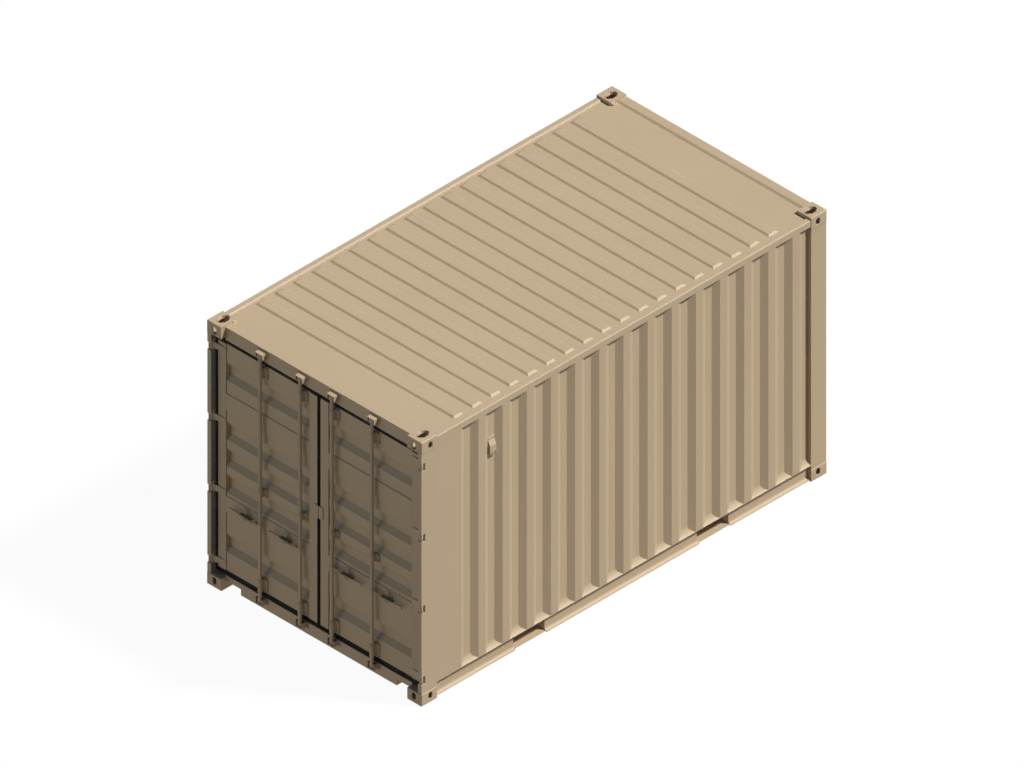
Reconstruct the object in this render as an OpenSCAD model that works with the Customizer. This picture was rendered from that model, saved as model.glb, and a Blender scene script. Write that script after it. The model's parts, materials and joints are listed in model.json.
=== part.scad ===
// Steel shipping container of the 15 ft class with two end doors.
// Frame: origin at the bottom centre, X along the length with the doors at -X, Y across, Z up; millimetres.
// Most modules draw one corner or one side in "near" coordinates: x in from the door plane,
// y in from the right-hand side plane, z up. The at_... modules put that in place and mirror it.

/* [Overall] */
// Length over the corner fittings
length = 4600; // [4000:10:6100]
// Width over the corner fittings
width = 2438; // [2300:2:2600]
// Height over the corner fittings
height = 2591; // [2500:1:2900]
// How far posts and rails stay behind the fitting faces
inset = 4; // [2:0.5:8]

/* [Corner fittings] */
// Fitting length along the container
fitting_l = 178; // [170:1:190]
// Fitting width across the container
fitting_w = 162; // [155:1:175]
// Fitting height
fitting_h = 118; // [112:1:130]
// Thickness of the plate with the long slot
fitting_plate = 28; // [24:1:32]
// Thickness of the other fitting walls
fitting_wall = 13; // [10:1:14]
// Slot length along the container
slot_l = 124; // [110:1:126]
// Slot width
slot_w = 63.5; // [50:0.5:66]
// Run of the sloping long edges of a slot
slot_bevel = 12; // [8:1:14]
// Slot centre from the end face
slot_end = 101.5; // [98:0.5:102]
// Slot centre from the side face
slot_side = 89; // [80:1:95]
// Height of the holes in the upright faces
hand_h = 70; // [60:1:76]
// Width of the holes in the upright faces
hand_w = 47; // [40:1:51]
// Rounding of the outer fitting edges
fitting_r = 10; // [6:1:12]

/* [Frame] */
// Wall of the posts and headers
post_t = 6; // [4:0.5:8]
// Face width of a door-end post
post_w = 46; // [42:1:50]
// Depth of the jamb behind the doors
jamb_d = 110; // [108:1:130]
// Width of the jamb
jamb_w = 92; // [80:1:110]
// Width of a front post
front_w = 60; // [50:1:80]
// Drop of the rail tops below the fitting tops
rail_drop = 21; // [16:1:26]
// Height of a top side rail
rail_h = 64; // [55:1:75]
// Width of a top side rail
rail_w = 60; // [50:1:70]
// Wall of a top side rail
rail_t = 4; // [3:0.5:6]
// Edge radius of a top side rail
rail_r = 10; // [6:1:14]
// Run of its sloping edge towards the roof
rail_run = 12; // [8:1:16]
// Ground clearance of the base frame
base_z = 17; // [12:1:25]
// Height of a bottom side rail
base_h = 147; // [140:1:160]
// Plate of the bottom rails
base_t = 5; // [4:0.5:7]
// Distance of the rail web behind the side plane
web_w = 40; // [34:1:46]
// Distance of the lower flange edge behind the side plane
flange_w = 12; // [8:1:16]
// Bend radius above the lower flange
flange_r = 27; // [16:1:28]
// Depth of the front header
head_l = 105; // [90:1:120]
// Run of its sloping edge towards the roof
head_run = 20; // [14:1:40]

/* [Door frame] */
// Depth of the header and sill faces behind the door plane
sill_d = 54; // [52:1:58]
// Depth of the header along the container
header_l = 84; // [70:1:100]
// Header underside below the fitting underside
header_lip = 26.5; // [20:0.5:40]
// Header top below the rail tops
header_drop = 0; // [0:1:4]
// Sill underside above ground
sill_z = 21; // [17:1:26]
// Sill height
sill_h = 114.5; // [110:0.5:124]
// Length of the notch beside each fitting
notch_l = 173; // [150:1:200]
// Height of the notch
notch_h = 60; // [40:1:70]

/* [Walls] */
// Sheet thickness
sheet = 2; // [1.6:0.1:3]
// Depth of a wall wave
wave_d = 36; // [30:1:40]
// Outer flat of a wave
wave_out = 79; // [60:1:90]
// Inner flat of a wave
wave_in = 73; // [68:1:90]
// Run of a wave slope
wave_run = 61; // [50:1:70]
// Plain strip beside the door post
plain_l = 279; // [230:1:320]
// Least flat of the last wave
wave_last = 60; // [40:1:68]
// Tilt, in degrees, of the foot of the curved ramp that closes a wave
ramp_tilt = 52; // [45:1:60]

/* [Roof] */
// Roof sheet below the rail tops
roof_drop = 13; // [12:1:16]
// Least distance of a rib from the ends
rib_margin = 490; // [300:1:510]
// Rib spacing
rib_pitch = 210; // [190:1:212]
// Flat top of a rib
rib_top = 78; // [60:1:90]
// Rise of a rib
rib_rise = 13; // [8:1:13]
// Run of a rib's long slopes
rib_run = 17; // [8:1:18]
// Run of a rib's end slopes
rib_end = 20; // [14:1:40]
// Space between a rib and the rail
rib_gap = 26; // [16:1:40]
// Reach of a corner ramp over the roof
gusset_w = 18; // [12:1:30]
// Top of a corner ramp below the fitting top
gusset_drop = 2; // [2:1:10]

/* [Floor and base] */
// Thickness of the floor boards
floor_t = 28; // [22:1:32]
// Seam between floor boards
floor_gap = 3; // [2:0.5:5]
// Height of a cross member
cross_h = 122; // [116:1:126]
// Flange of a cross member
cross_w = 45; // [35:1:55]
// Plate of a cross member
cross_t = 4.5; // [3:0.5:6]
// Spacing of the cross members
cross_pitch = 300; // [280:10:400]
// Fork pocket width
fork_w = 355; // [300:1:380]
// Distance of a fork pocket from the middle
fork_x = 1043; // [900:1:1100]
// Plate above a fork pocket
fork_t = 4; // [3:0.5:6]
// Strap below a fork pocket
strap_t = 6; // [4:1:10]
// Length of that strap
strap_l = 200; // [150:10:300]
// Distance of the strap behind the side plane
strap_w = 30; // [25:1:38]

/* [Doors] */
// Leaf edge from the side plane
leaf_w = 75; // [72:1:80]
// Half of the gap between the leaves
leaf_gap = 18.5; // [16:0.5:22]
// Leaf edge above the sill
leaf_low = 47; // [38:1:50]
// Leaf edge below the header
leaf_high = 38.5; // [34:0.5:45]
// Leaf thickness
leaf_t = 50; // [48:1:52]
// Wall of the leaf's tubes
tube_t = 4; // [3:0.5:6]
// Stile width
stile_w = 90; // [80:1:100]
// Height of the leaf's cross rails
cross_rail = 100; // [80:1:120]
// Panel crests behind the stile faces
crest_d = 8; // [5:1:10]
// Depth of a panel recess
dent_d = 36; // [30:1:38]
// Inner flat of a panel recess
dent_in = 75; // [60:1:80]
// Slope of a panel recess
dent_run = 52; // [40:1:55]
// First recess spacing from the middle
dent_a = 259; // [250:1:270]
// Outer recesses off the middle between the handle band and the leaf end
dent_off = 13.75; // [5:0.25:25]
// Height of a raised band
band_h = 154; // [120:1:160]
// Run of a band's edges
band_run = 6; // [4:1:10]
// Middle of the handle band below the leaf middle
band_low = 459; // [450:1:465]
// Middle of the upper band above the leaf middle
band_high = 546; // [500:1:560]
// Clear space around the door seals
seal_gap = 5; // [4:0.5:6]
// Seal thickness
seal_t = 36; // [20:1:40]

/* [Hinges] */
// Pin diameter
pin_dia = 16; // [12:1:18]
// Pin axis behind the door and side planes
pin_in = 20; // [19:0.5:22]
// Knuckle diameter
knuckle = 28; // [26:1:32]
// Blade height
blade_h = 66; // [55:1:75]
// Blade height at the tip
blade_tip = 34; // [24:1:50]
// Tip of the blade above its middle
blade_rise = 10; // [0:1:14]
// Blade thickness beside the post
blade_t = 17; // [12:0.5:17]
// Blade thickness at the tip
blade_end = 3; // [2:0.5:6]
// Hinge spacing over the leaf height
hinge_share = 0.3137; // [0.29:0.0001:0.32]
// Lug plate in the post
lug_t = 12; // [10:1:16]
// Reach of the stop above each blade
lug_out = 4; // [3:0.5:5]
// Height of that stop
lug_h = 36; // [20:1:44]
// Depth of that stop
lug_d = 36; // [28:1:38]

/* [Locking gear] */
// Rod diameter
rod_dia = 31; // [27:1:34]
// Rod axis behind the door plane
rod_d = 22; // [21.5:0.5:24]
// Inner rods from the middle
rod_in = 180; // [170:1:200]
// Outer rods off the leaf middle, towards the hinges
rod_off = 52.75; // [30:0.25:60]
// Rod end above the sill underside
rod_low = 74; // [70:1:80]
// Rod end above the fitting underside
rod_high = 60; // [50:1:64]
// Half width of a cam
cam_w = 23; // [20:1:23]
// Cam height
cam_h = 34; // [26:1:38]
// Space between the keeper cheeks and the rod axis
keep_w = 34; // [33:1:40]
// Keeper plate
keep_t = 7; // [5:1:9]
// Reach of a keeper's back plate beside its cheeks
keep_out = 15; // [8:1:20]
// Reach of that plate beyond the closed side
keep_lip = 5; // [2:1:8]
// Guide plate width
guide_w = 102; // [80:1:108]
// Guide plate thickness
guide_t = 12; // [8:1:14]
// Guide bearing shorter than its plate, at each end
bearing_in = 4; // [2:1:8]
// Plate height of the lowest guide
guide_low_h = 128; // [100:1:140]
// Middle of the lowest guide above the leaf edge
guide_low = 79; // [72:1:90]
// Plate height of the highest guide
guide_high_h = 112; // [90:1:120]
// Middle of the highest guide below the leaf edge
guide_high = 64; // [60:1:80]
// Space between a handle's end and the next rod axis
handle_clear = 109; // [90:1:130]
// Handle bar height
handle_h = 28; // [22:1:32]
// Handle bar thickness
handle_t = 12; // [9:0.5:12]
// Hasp behind a handle bar, as a share of the handle length
hasp_share = 0.32; // [0.26:0.01:0.36]
// Reach of that hasp behind the bar
hasp_w = 12; // [8:1:13]
// Hasp thickness
hasp_t = 8; // [6:1:10]
// Hasp from the handle's end, as a share of the handle length
hasp_in = 0.34; // [0.3:0.01:0.36]
// Handle pivot from the rod axis
pivot_w = 44; // [42:1:50]
// Retainer from the handle's end
catch_in = 175; // [140:1:190]
// Plate width of a retainer
catch_w = 60; // [50:1:80]
// Reach of the plate above the handle's underside
catch_high = 76; // [50:1:80]
// Reach of the plate below the handle's underside
catch_low = 34; // [28:1:40]
// Shelf width of a retainer
shelf_w = 32; // [24:1:40]
// Shelf thickness
shelf_t = 8; // [6:1:10]
// Width of the seal plates at the middle
meet_w = 50; // [40:1:60]
// Height of the seal plates
meet_h = 122; // [100:1:140]
// Thickness of the seal plates
meet_t = 7; // [5:0.5:8]
// Slit between the two seal plates
meet_slit = 6; // [5:0.5:10]
// Middle of the seal plates below the leaf middle
meet_drop = 10; // [0:1:30]

/* [Vents] */
// Vent height
vent_h = 134; // [110:1:150]
// Vent depth
vent_d = 27; // [20:1:28]
// Height of the vent's sloping top
vent_slope = 45; // [30:1:60]
// Upper edge of that slope off the wall
vent_lip = 3; // [2:0.5:6]
// Plate above the vent
vent_plate = 28; // [16:1:40]
// Vent top below the rail
vent_z = 306; // [200:1:400]

/* [Hidden] */
$fn = 32;
pin_fit = 0.1;
run_fit = 0.3;
half_l = length / 2;
half_w = width / 2;
fit_low = fitting_h;
fit_high = height - fitting_h;
rail_top = height - rail_drop;
rail_low = rail_top - rail_h;
roof_z = rail_top - roof_drop;
wall_low = base_z + base_h;
wall_w = inset + 1;
wave_pitch = wave_out + wave_in + 2 * wave_run;
ramp_r = wave_d / (1 - cos(ramp_tilt));
ramp_h = ramp_r * sin(ramp_tilt);
wave_x = fitting_l + plain_l;
wave_end = length - fitting_l;
wave_n = floor((wave_end - wave_x - wave_run - wave_last) / wave_pitch);
floor_z = base_z + cross_h;
floor_top = floor_z + floor_t;
cut_h = blade_h + 6;
cut_d = sill_d + 6;
side_cut = pin_in + knuckle - 1;
header_z = fit_high - header_lip;
header_top = rail_top - header_drop;
header_end = sill_d + header_l;
sill_top = sill_z + sill_h;
leaf_z0 = sill_top + leaf_low;
leaf_z1 = header_z - leaf_high;
leaf_mid = (leaf_z0 + leaf_z1) / 2;
dent_b = (band_low + band_h / 2 + band_run + (leaf_z1 - leaf_z0) / 2) / 2 + dent_off;
leaf_in = half_w - leaf_gap;
leaf_back = sill_d + leaf_t;
panel_w0 = leaf_w + stile_w;
panel_w1 = leaf_in - stile_w;
crest = sill_d + crest_d;
hinge_z = [for (i = [-1.5:1:1.5]) leaf_mid + i * hinge_share * (leaf_z1 - leaf_z0)];
rod_w = [(leaf_w + leaf_in) / 2 - rod_off, half_w - rod_in];
handle_l = rod_w[1] - rod_w[0] - handle_clear;
rod_z0 = sill_z + rod_low;
rod_z1 = fit_high + rod_high;
handle_z = leaf_mid - band_low + 8;
handle_d = rod_d - handle_t - 0.5;
hub_r = rod_dia / 2 + 3;
pivot_r = 6;
fork_top = floor_z - fork_t;
roof_x0 = header_end;
roof_x1 = length - head_l;
rib_n = floor((length - 2 * rib_margin) / rib_pitch) + 1;
rib_x0 = half_l - (rib_n - 1) * rib_pitch / 2;
rib_w0 = inset + rail_w + rib_gap;

// Which node to draw

paint = [0.76, 0.67, 0.55];
dark = [0.1, 0.1, 0.09];
timber = [0.62, 0.47, 0.3];

module at_right() { translate([-half_l, -half_w, 0]) children(); }
module at_left() { mirror([0, 1, 0]) at_right() children(); }
module at_both() {
    at_right() children();
    at_left() children();
}
module at_front_right() { mirror([1, 0, 0]) at_right() children(); }
module at_front_left() { mirror([1, 0, 0]) at_left() children(); }
module at_corners() {
    at_both() children();
    mirror([1, 0, 0]) at_both() children();
}
// Sweeps a drawing of (y, z) along x
module along_x(x0, x1) { translate([x0, 0, 0]) rotate([90, 0, 90]) linear_extrude(x1 - x0) children(); }
// Sweeps a drawing of (x, z) along y
module along_y(y0, y1) { translate([0, y1, 0]) rotate([90, 0, 0]) linear_extrude(y1 - y0) children(); }
// Box from two opposite corners
module block(a, b) { translate(a) cube(b - a); }
// Points of an arc about (x, y)
function arc(x, y, r, a0, a1, n = 6) =
    [for (i = [0:n]) let (a = a0 + (a1 - a0) * i / n) [x + r * cos(a), y + r * sin(a)]];
// A path walked back, moved by (dx, dy)
function back(path, dx, dy) = [for (i = [len(path) - 1:-1:0]) path[i] + [dx, dy]];

// Round-ended hole, long side along x
module slot(l, w, h) {
    for (s = [-1, 1])
        translate([s * (l - w) / 2, 0, 0]) cylinder(d = w, h = h);
    block([-(l - w) / 2, -w / 2, 0], [(l - w) / 2, w / 2, h]);
}

// Rectangle with the corner at the origin rounded and the corner at (0, b) cut by c
module one_round(a, b, c) {
    r = fitting_r;
    end = c > 0 ? [[c, b], [0, b - c]] : [[0, b]];
    polygon(concat(arc(r, r, r, 180, 270), [[a, 0], [a, b]], end));
}
// Hollow casting with its outer edges rounded, one long slot and two upright holes
module fitting() {
    mid = (fitting_plate + fitting_h - fitting_wall) / 2;
    b = slot_w / 2;
    difference() {
        intersection() {
            linear_extrude(fitting_h) one_round(fitting_l, fitting_w, 0);
            along_x(0, fitting_l) one_round(fitting_w, fitting_h, inset);
            along_y(0, fitting_w) one_round(fitting_l, fitting_h, inset);
        }
        block([fitting_wall, fitting_wall, fitting_plate],
            [fitting_l - fitting_wall, fitting_w - fitting_wall, fitting_h - fitting_wall]);
        translate([slot_end, slot_side, -1]) slot(slot_l, slot_w, fitting_plate + 2);
        along_x(slot_end - (slot_l - slot_w) / 2, slot_end + (slot_l - slot_w) / 2)
            polygon([[slot_side - b - slot_bevel, -1], [slot_side + b + slot_bevel, -1],
                [slot_side + b, fitting_plate * 0.7], [slot_side - b, fitting_plate * 0.7]]);
        translate([slot_end, -1, mid]) rotate([-90, 0, 0]) rotate([0, 0, 90])
            slot(hand_h, hand_w, fitting_wall + 2);
        translate([-1, slot_side, mid]) rotate([0, 90, 0]) slot(hand_h, hand_w, fitting_wall + 2);
    }
}
module bottom_fittings() { color(paint) at_corners() fitting(); }
module top_fittings() { color(paint) translate([0, 0, height]) mirror([0, 0, 1]) at_corners() fitting(); }

// Hollow door-end post: a nose that holds the hinges and a jamb behind the leaf
module rear_post() {
    t = post_t;
    difference() {
        union() {
            translate([0, 0, fit_low]) linear_extrude(fit_high - fit_low) difference() {
                polygon([[inset, inset], [fitting_l, inset], [fitting_l, jamb_w], [jamb_d, jamb_w],
                    [jamb_d, post_w], [inset, post_w]]);
                polygon([[inset + t, inset + t], [fitting_l - t, inset + t], [fitting_l - t, jamb_w - t],
                    [jamb_d + t, jamb_w - t], [jamb_d + t, post_w - t], [inset + t, post_w - t]]);
            }
            for (z = hinge_z) {
                block([inset + 1, inset + 1, z - cut_h / 2 - lug_t],
                    [cut_d + 1, post_w - 1, z + cut_h / 2 + lug_t]);
                block([inset + 2, post_w - 1, z + cut_h / 2 + 2],
                    [lug_d, post_w + lug_out, z + cut_h / 2 + lug_h]);
            }
        }
        for (z = hinge_z) {
            block([-1, -1, z - cut_h / 2], [side_cut, post_w + 1, z + cut_h / 2]);
            block([-1, post_w / 2, z - cut_h / 2], [cut_d + 2, post_w + 1, z + cut_h / 2]);
            translate([pin_in, pin_in, z - cut_h / 2 - lug_t - 1])
                cylinder(d = pin_dia + 2 * pin_fit, h = cut_h + 2 * lug_t + 2);
        }
    }
}
module rear_post_right() { color(paint) at_right() rear_post(); }
module rear_post_left() { color(paint) at_left() rear_post(); }

// Hollow box post of the blank end
module front_post() {
    t = post_t;
    difference() {
        block([inset, inset, fit_low], [fitting_l, front_w, fit_high]);
        block([inset + t, inset + t, fit_low - 1], [fitting_l - t, front_w - t, fit_high + 1]);
    }
}
module front_post_right() { color(paint) at_front_right() front_post(); }
module front_post_left() { color(paint) at_front_left() front_post(); }

// Rail tube with its outer edges rounded; y in from the side plane
module rail_outline(t, r) {
    w0 = inset + t;
    w1 = inset + rail_w - t;
    polygon(concat([[w1, rail_low + t], [w1, roof_z - t], [w1 - rail_run + t / 2, rail_top - t]], arc(w0 + r, rail_top - t - r, r, 90, 180),
        [[w0, rail_low + t]]));
}
module top_rail() {
    along_x(fitting_l, length - fitting_l) difference() {
        rail_outline(0, rail_r);
        rail_outline(rail_t, rail_r - rail_t);
    }
}
module top_rail_right() { color(paint) at_right() top_rail(); }
module top_rail_left() { color(paint) at_left() top_rail(); }

// Channel with its flanges outwards, cut open at the fork pockets
module bottom_rail() {
    w1 = web_w + base_t;
    z0 = base_z + base_t;
    difference() {
        along_x(fitting_l, length - fitting_l)
            polygon(concat([[wall_w, wall_low], [w1, wall_low], [w1, base_z], [flange_w, base_z],
                [flange_w, z0]], arc(web_w - flange_r, z0 + flange_r, flange_r, -90, 0),
                [[web_w, wall_low - base_t], [wall_w, wall_low - base_t]]));
        for (s = [-1, 1])
            translate([half_l + s * fork_x - fork_w / 2, 0, 0])
                block([0, -1, -1], [fork_w, w1 + 1, fork_top]);
    }
}
module bottom_rail_right() { color(paint) at_right() bottom_rail(); }
module bottom_rail_left() { color(paint) at_left() bottom_rail(); }

// Box header over the doors, with a lip between the posts
module door_header() {
    t = post_t;
    w0 = half_w - fitting_w;
    w1 = half_w - jamb_w;
    color(paint) translate([-half_l, 0, 0]) {
        difference() {
            union() {
                block([sill_d, -w0, header_z], [header_end, w0, header_top]);
                block([jamb_d, -w1, header_z], [header_end, w1, fit_high]);
            }
            block([sill_d + t, -w0 - 1, header_z + t], [header_end - t, w0 + 1, header_top - t]);
        }
    }
}

// Channel sill, notched beside the fittings
module door_sill() {
    t = post_t;
    w0 = half_w - fitting_w;
    w1 = half_w - jamb_w;
    wn = w0 - notch_l;
    color(paint) translate([-half_l, 0, 0]) {
        difference() {
            union() {
                block([sill_d, -wn, sill_z], [fitting_l, wn, sill_top]);
                block([sill_d, -w0, sill_z + notch_h], [fitting_l, w0, sill_top]);
                block([jamb_d, -w1, fit_low], [fitting_l, w1, sill_top]);
            }
            block([sill_d + t, -wn + t, sill_z + t], [fitting_l + 1, wn - t, sill_top - t]);
            block([sill_d + t, -w0 - 1, sill_z + notch_h + t], [fitting_l + 1, w0 + 1, sill_top - t]);
        }
    }
}

// Hollow header of the blank end with a sloping edge at the roof
module front_header() {
    t = post_t;
    w0 = half_w - fitting_w;
    color(paint) mirror([1, 0, 0]) translate([-half_l, 0, 0]) along_y(-w0, w0) difference() {
        polygon([[inset, fit_high], [head_l, fit_high], [head_l, roof_z], [head_l - head_run, rail_top],
            [inset, rail_top]]);
        polygon([[inset + t, fit_high + t], [head_l - t, fit_high + t], [head_l - t, roof_z - t],
            [head_l - head_run - t / 2, rail_top - t], [inset + t, rail_top - t]]);
    }
}

// Channel sill of the blank end
module front_sill() {
    t = post_t;
    w0 = half_w - fitting_w;
    w1 = half_w - front_w;
    color(paint) mirror([1, 0, 0]) translate([-half_l, 0, 0]) {
        difference() {
            union() {
                block([inset, -w0, base_z], [fitting_l, w0, wall_low]);
                block([inset, -w1, fit_low], [fitting_l, w1, wall_low]);
            }
            block([inset + t, -w0 - 1, base_z + t], [fitting_l + 1, w0 + 1, wall_low - t]);
        }
    }
}

// The four corners of wave k of a row that starts at xs
function wave_points(xs, k) =
    [for (p = [[0, 0], [wave_run, wave_d], [wave_run + wave_in, wave_d], [2 * wave_run + wave_in, 0]])
        [xs + k * wave_pitch + p[0], wall_w + p[1]]];
// Wave outline of a wall from x0: n whole waves start at xs
function waves(x0, xs, n) = concat([[x0, wall_w]], [for (k = [0:n - 1]) each wave_points(xs, k)]);
// The same, with a last wave that stays in up to x1
function open_waves(x0, xs, n, x1) =
    let (last = wave_points(xs, n)) concat(waves(x0, xs, n), [last[0], last[1], [x1, last[1][1]]]);
// Sheet along such an outline
module wave_sheet(path, z0, z1) {
    translate([0, 0, z0]) linear_extrude(z1 - z0) polygon(concat(path, back(path, 0, sheet)));
}
// Curved plate that closes one wave at the bottom; x holds the four corners of its outline
module wave_ramp(x, z0) {
    w0 = wall_w + sheet / 2;
    w1 = w0 + wave_d;
    top = 2 * sheet;
    path = arc(w1 - ramp_r, z0 + ramp_h, ramp_r, 0, -ramp_tilt, 7);
    intersection() {
        translate([0, 0, z0]) linear_extrude(ramp_h + top)
            polygon([[x[0], w0], [x[1], w1], [x[2], w1], [x[3], w0]]);
        along_x(x[0] - 1, x[3] + 1)
            polygon(concat(path, back(path, top, 0)));
    }
}
module side_wall() {
    wave_sheet(open_waves(fitting_l, wave_x, wave_n, wave_end), wall_low, rail_low);
    for (k = [0:wave_n]) {
        x0 = wave_x + k * wave_pitch;
        x1 = x0 + wave_run;
        x2 = k == wave_n ? wave_end : x1 + wave_in;
        x3 = k == wave_n ? wave_end : x2 + wave_run;
        wave_ramp([x0, x1, x2, x3], wall_low);
    }
}
module side_wall_right() { color(paint) at_right() side_wall(); }
module side_wall_left() { color(paint) at_left() side_wall(); }

// Blank end wall with the same waves
module front_wall() {
    span = width - 2 * front_w;
    n = floor((span - wave_out) / wave_pitch);
    xs = front_w + (span - n * wave_pitch + wave_out) / 2;
    path = concat(waves(front_w, xs, n), [[width - front_w, wall_w]]);
    color(paint) translate([half_l, -half_w, 0]) rotate([0, 0, 90]) wave_sheet(path, wall_low, fit_high);
}

// Rib block with four sloping sides, made smaller by g, its slopes from z and its foot at z0
module rib(z, z0, g) {
    a = rib_top / 2 + rib_run - g;
    b = rib_top / 2 - g;
    w0 = rib_w0 + g;
    w1 = width - w0;
    z1 = z + rib_rise;
    intersection() {
        along_y(w0, w1) polygon([[-a, z0], [a, z0], [a, z], [b, z1], [-b, z1], [-a, z]]);
        along_x(-a, a)
            polygon([[w0, z0], [w1, z0], [w1, z], [w1 - rib_end, z1], [w0 + rib_end, z1], [w0, z]]);
    }
}
// Ribbed sheet between the rails, notched around the fittings
module roof_panel() {
    w0 = inset + rail_w;
    z0 = roof_z - sheet;
    color(paint) translate([-half_l, -half_w, 0]) difference() {
        union() {
            block([fitting_l, w0, z0], [length - fitting_l, width - w0, roof_z]);
            block([roof_x0, fitting_w, z0], [roof_x1, width - fitting_w, roof_z]);
            for (k = [0:rib_n - 1])
                translate([rib_x0 + k * rib_pitch, 0, 0]) rib(roof_z, roof_z - sheet / 2, 0);
        }
        for (k = [0:rib_n - 1])
            translate([rib_x0 + k * rib_pitch, 0, 0]) rib(roof_z - sheet, roof_z - 2 * sheet, sheet);
    }
}
// Ramps on the roof beside the top fittings
module roof_gussets() {
    z1 = height - gusset_drop;
    color(paint) at_corners() intersection() {
        along_x(header_end, fitting_l)
            polygon([[fitting_w, roof_z], [fitting_w + gusset_w, roof_z], [fitting_w, z1]]);
        along_y(fitting_w - 1, fitting_w + gusset_w + 1)
            polygon([[header_end, roof_z], [header_end + gusset_w, roof_z], [fitting_l, z1], [header_end, z1]]);
    }
}

module floor_boards() {
    x0 = half_l - fitting_l;
    w0 = half_w - web_w - base_t;
    g = floor_gap / 2;
    color(timber)
        for (sx = [0, 1], sy = [0, 1])
            mirror([sx, 0, 0]) mirror([0, sy, 0]) block([g, g, floor_z], [x0, w0, floor_top]);
}

// One channel across the base, web at x = 0 and flanges towards +x
module cross_channel() {
    w0 = half_w - web_w - base_t;
    t = cross_t;
    along_y(-w0, w0)
        polygon([[0, base_z], [cross_w, base_z], [cross_w, base_z + t], [t, base_z + t], [t, floor_z - t],
            [cross_w, floor_z - t], [cross_w, floor_z], [0, floor_z]]);
}
module cross_members() {
    in = fork_x - fork_w / 2;
    out = fork_x + fork_w / 2;
    n_in = floor((in - cross_w) / cross_pitch);
    end = half_l - fitting_l;
    n_out = floor((end - out - cross_w) / cross_pitch);
    color(paint) {
        translate([-cross_w / 2, 0, 0]) cross_channel();
        for (s = [0, 1])
            mirror([s, 0, 0]) {
                for (k = [1:n_in - 1])
                    translate([k * in / n_in, 0, 0]) cross_channel();
                translate([in, 0, 0]) mirror([1, 0, 0]) cross_channel();
                translate([out, 0, 0]) cross_channel();
                for (k = [1:n_out])
                    translate([out + k * (end - out) / (n_out + 1), 0, 0]) cross_channel();
            }
    }
}

// Plate over each fork pocket and a strap under each of its mouths
module fork_pockets() {
    w0 = half_w - web_w - base_t;
    color(paint)
        for (s = [-1, 1]) translate([s * fork_x, 0, 0]) {
            block([-fork_w / 2, -w0, fork_top], [fork_w / 2, w0, floor_z]);
            for (m = [0, 1])
                mirror([0, m, 0]) block([-fork_w / 2, half_w - strap_w - strap_l, base_z],
                    [fork_w / 2, half_w - strap_w, base_z + strap_t]);
        }
}

// Small hood in the second wave of each side
module side_vents() {
    x = wave_x + wave_pitch + wave_run;
    w1 = wall_w + wave_d;
    z1 = rail_low - vent_z;
    color(paint) at_both() along_x(x + 2, x + wave_in - 2)
        polygon([[w1, z1 - vent_h], [w1 - vent_d, z1 - vent_h], [w1 - vent_d, z1 - vent_slope],
            [w1 - vent_lip, z1], [w1 - vent_lip, z1 + vent_plate], [w1, z1 + vent_plate + vent_lip]]);
}

module hinge_pins() {
    h = cut_h + 2 * lug_t;
    color(paint) at_both()
        for (z = hinge_z)
            translate([pin_in, pin_in, z - h / 2]) cylinder(d = pin_dia, h = h);
}

// U-shaped keeper around a cam, its closed side at +z
module keeper(h) {
    w = keep_w + keep_t;
    x0 = rod_d - cam_w / 2 - 4;
    block([rod_d - hub_r, -w, h - keep_t], [sill_d, w, h]);
    for (s = [-1, 1])
        block([x0, s > 0 ? keep_w : -w, 0], [sill_d, s > 0 ? w : -keep_w, h]);
    block([sill_d - keep_t, -w - keep_out, h / 2], [sill_d, w + keep_out, h + keep_lip]);
}
module cam_keepers() {
    h = cam_h + 2 * keep_t + 4;
    color(paint) at_both()
        for (w = rod_w) {
            translate([0, w, rod_z1 + 5 + keep_t - h]) keeper(h);
            translate([0, w, rod_z0 - 5 - keep_t + h]) mirror([0, 0, 1]) keeper(h);
        }
}

// Tube frame of one leaf: two stiles, and two rails behind the panel
module door_frame() {
    t = tube_t;
    x1 = crest + sheet;
    color(paint) {
        difference() {
            union() {
                block([sill_d, leaf_w, leaf_z0], [leaf_back, panel_w0, leaf_z1]);
                block([sill_d, panel_w1, leaf_z0], [leaf_back, leaf_in, leaf_z1]);
                block([x1, panel_w0 - 1, leaf_z0], [leaf_back, panel_w1 + 1, leaf_z0 + cross_rail]);
                block([x1, panel_w0 - 1, leaf_z1 - cross_rail], [leaf_back, panel_w1 + 1, leaf_z1]);
            }
            block([sill_d + t, leaf_w + t, leaf_z0 - 1], [leaf_back - t, panel_w0 - t, leaf_z1 + 1]);
            block([sill_d + t, panel_w1 + t, leaf_z0 - 1], [leaf_back - t, leaf_in - t, leaf_z1 + 1]);
            block([x1 + t, panel_w0, leaf_z0 + t], [leaf_back + 1, panel_w1, leaf_z0 + cross_rail - t]);
            block([x1 + t, panel_w0, leaf_z1 - cross_rail + t], [leaf_back + 1, panel_w1, leaf_z1 - t]);
        }
    }
}
module door_frame_right() { at_right() door_frame(); }
module door_frame_left() { at_left() door_frame(); }

// Outline of a panel recess and of a raised band around height z
function dent(z) = [[crest, z - dent_in / 2 - dent_run], [crest + dent_d, z - dent_in / 2],
    [crest + dent_d, z + dent_in / 2], [crest, z + dent_in / 2 + dent_run]];
function band(z) = [[crest, z - band_h / 2 - band_run], [sill_d, z - band_h / 2], [sill_d, z + band_h / 2],
    [crest, z + band_h / 2 + band_run]];
module door_panel() {
    m = leaf_mid;
    path = concat([[crest, leaf_z0]], dent(m - dent_b), band(m - band_low), dent(m - dent_a), dent(m),
        dent(m + dent_a), band(m + band_high), dent(m + dent_b), [[crest, leaf_z1]]);
    color(paint) along_y(panel_w0, panel_w1) polygon(concat(path, back(path, sheet, 0)));
}
module door_panel_right() { at_right() door_panel(); }
module door_panel_left() { at_left() door_panel(); }

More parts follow.
